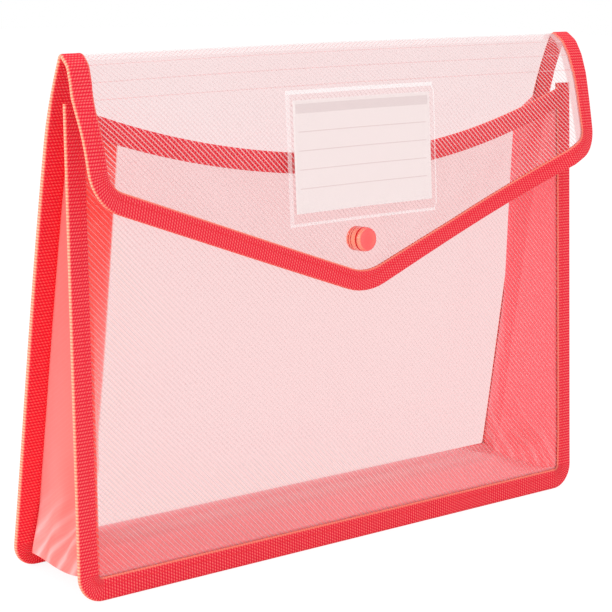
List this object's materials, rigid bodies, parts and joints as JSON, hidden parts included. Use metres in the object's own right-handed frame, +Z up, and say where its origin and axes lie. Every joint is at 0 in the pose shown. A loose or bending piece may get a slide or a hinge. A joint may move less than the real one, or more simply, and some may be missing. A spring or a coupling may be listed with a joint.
{
  "type": "portfolio case",
  "caption": "Expanding document case: translucent walls and gusset bound in woven tape, scooped mouth, scored pointed flap with a press stud, and a label pocket.",
  "frame": {"origin": "middle of the back wall's bottom edge, on the surface that the case stands on", "axes": "+X along the case to the right as seen from the front, +Y to the back, +Z up; the flap and label face -Y"},
  "size_m": [0.33, 0.0687, 0.2545],
  "materials": {
    "clear_sheet": "translucent pale pink polypropylene with a fine diagonal emboss",
    "coral_sheet": "translucent coral polypropylene with a fine diagonal emboss",
    "binding": "red ribbed woven tape",
    "snap_plastic": "moulded coral plastic",
    "pocket_film": "clear soft film",
    "card": "smooth ruled card"
  },
  "bodies": {
    "case_back": {"back_panel": "clear_sheet", "back_tape": "binding", "gusset_back_half": "coral_sheet"},
    "spine_1": {"spine_sheet_1": "clear_sheet", "spine_tape_1": "binding"},
    "spine_2": {"spine_sheet_2": "clear_sheet", "spine_tape_2": "binding"},
    "spine_3": {"spine_sheet_3": "clear_sheet", "spine_tape_3": "binding"},
    "flap": {"flap_panel": "clear_sheet", "flap_tape": "binding", "snap_cap": "snap_plastic", "snap_socket": "snap_plastic", "label_pocket": "pocket_film"},
    "front": {"front_panel": "clear_sheet", "front_tape": "binding", "mouth_tape": "binding", "gusset_front_half": "coral_sheet", "snap_stud": "snap_plastic", "snap_rivet": "snap_plastic"},
    "label": {"label_card": "card"}
  },
  "joints": [
    {"name": "spine_score_1", "type": "hinge", "parent": "case_back", "child": "spine_1", "pos_m": [0, -0.03895, 0.25454], "axis": [-1, 0, 0], "range_deg": [0, 158]},
    {"name": "spine_score_2", "type": "hinge", "parent": "spine_1", "child": "spine_2", "pos_m": [0, -0.04616, 0.25003], "axis": [-1, 0, 0], "range_deg": [0, 69.9]},
    {"name": "spine_score_3", "type": "hinge", "parent": "spine_2", "child": "spine_3", "pos_m": [0, -0.05079, 0.2429], "axis": [-1, 0, 0], "range_deg": [0, 55.9]},
    {"name": "flap_score", "type": "hinge", "parent": "spine_3", "child": "flap", "pos_m": [0, -0.05397, 0.23502], "axis": [-1, 0, 0], "range_deg": [0, 61.3]},
    {"name": "mouth_opening", "type": "hinge", "parent": "case_back", "child": "front", "pos_m": [0, -0.05856, 0.012], "axis": [1, 0, 0], "range_deg": [0, 13.1]},
    {"name": "label_slide", "type": "slide", "parent": "flap", "child": "label", "axis": [1, 0, 0], "range_m": [0, 0.093]}
  ],
  "couplings": [
    {"joint": "mouth_opening", "follows": "spine_score_1", "ratio": 0.0823}
  ]
}
